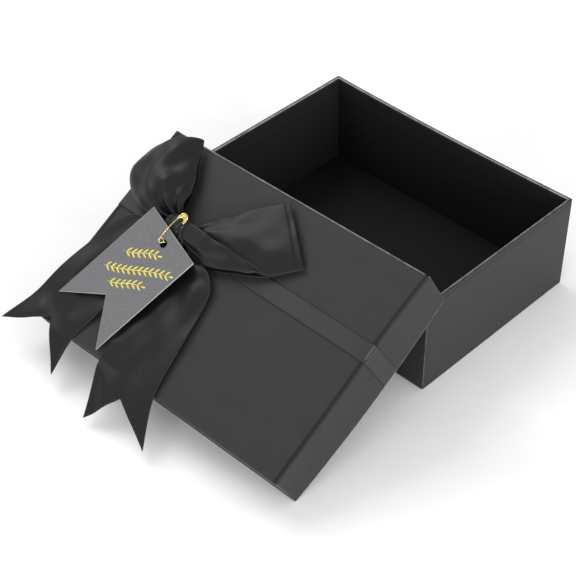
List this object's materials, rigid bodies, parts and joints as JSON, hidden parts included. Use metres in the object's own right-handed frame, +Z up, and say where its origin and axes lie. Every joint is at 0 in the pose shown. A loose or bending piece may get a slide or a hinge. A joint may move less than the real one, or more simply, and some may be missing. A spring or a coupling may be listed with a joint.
{
  "type": "jewelry gift box",
  "caption": "Rigid paper-wrapped gift box: an open tray with its lid leaning on it, a flat ribbon band, a satin bow and a hang tag on a safety pin.",
  "frame": {"origin": "centre of the tray's underside, on the surface it stands on", "axes": "+X along the tray's long side, +Y away from the leaning lid, +Z up"},
  "size_m": [0.2213, 0.2993, 0.111],
  "materials": {
    "greyboard": "bare grey board",
    "stay_tape": "matt gummed paper tape",
    "wrap_paper": "matt uncoated charcoal paper",
    "lining_paper": "matt black paper",
    "band_satin": "dull charcoal ribbon",
    "bow_satin": "soft black satin ribbon",
    "gold_wire": "bright gold plated",
    "tag_card": "matt grey cardstock"
  },
  "bodies": {
    "tray": {"tray_floor_board": "greyboard", "tray_front_board": "greyboard", "tray_back_board": "greyboard", "tray_left_board": "greyboard", "tray_right_board": "greyboard", "tray_corner_stay_1": "stay_tape", "tray_corner_stay_2": "stay_tape", "tray_corner_stay_3": "stay_tape", "tray_corner_stay_4": "stay_tape", "tray_wrap": "wrap_paper", "tray_wall_lining": "lining_paper", "tray_floor_lining": "lining_paper", "tray_base_sheet": "wrap_paper"},
    "lid": {"lid_top_board": "greyboard", "lid_front_board": "greyboard", "lid_back_board": "greyboard", "lid_left_board": "greyboard", "lid_right_board": "greyboard", "lid_corner_stay_1": "stay_tape", "lid_corner_stay_2": "stay_tape", "lid_corner_stay_3": "stay_tape", "lid_corner_stay_4": "stay_tape", "lid_wrap": "wrap_paper", "lid_wall_lining": "lining_paper", "lid_top_lining": "lining_paper", "band_ribbon": "band_satin", "bow_knot": "bow_satin", "bow_loop_left": "bow_satin", "bow_loop_right": "bow_satin", "bow_tail_left": "bow_satin", "bow_tail_right": "bow_satin"},
    "pin": {"pin_wire": "gold_wire", "pin_cap": "gold_wire"},
    "tag": {"hang_tag": "tag_card"}
  },
  "joints": [
    {"name": "lid_lift", "type": "slide", "parent": "tray", "child": "lid", "axis": [0, 0, 1], "range_m": [0, 0.1]},
    {"name": "pin_swing", "type": "hinge", "parent": "lid", "child": "pin", "pos_m": [-0.0438, -0.1325, 0.08054], "axis": [0.0103, -0.6041, 0.7968], "range_deg": [-4, 4]},
    {"name": "tag_swing", "type": "hinge", "parent": "pin", "child": "tag", "pos_m": [-0.04583, -0.14245, 0.0749], "axis": [0.0103, -0.6041, 0.7968], "range_deg": [-12, 19]}
  ]
}
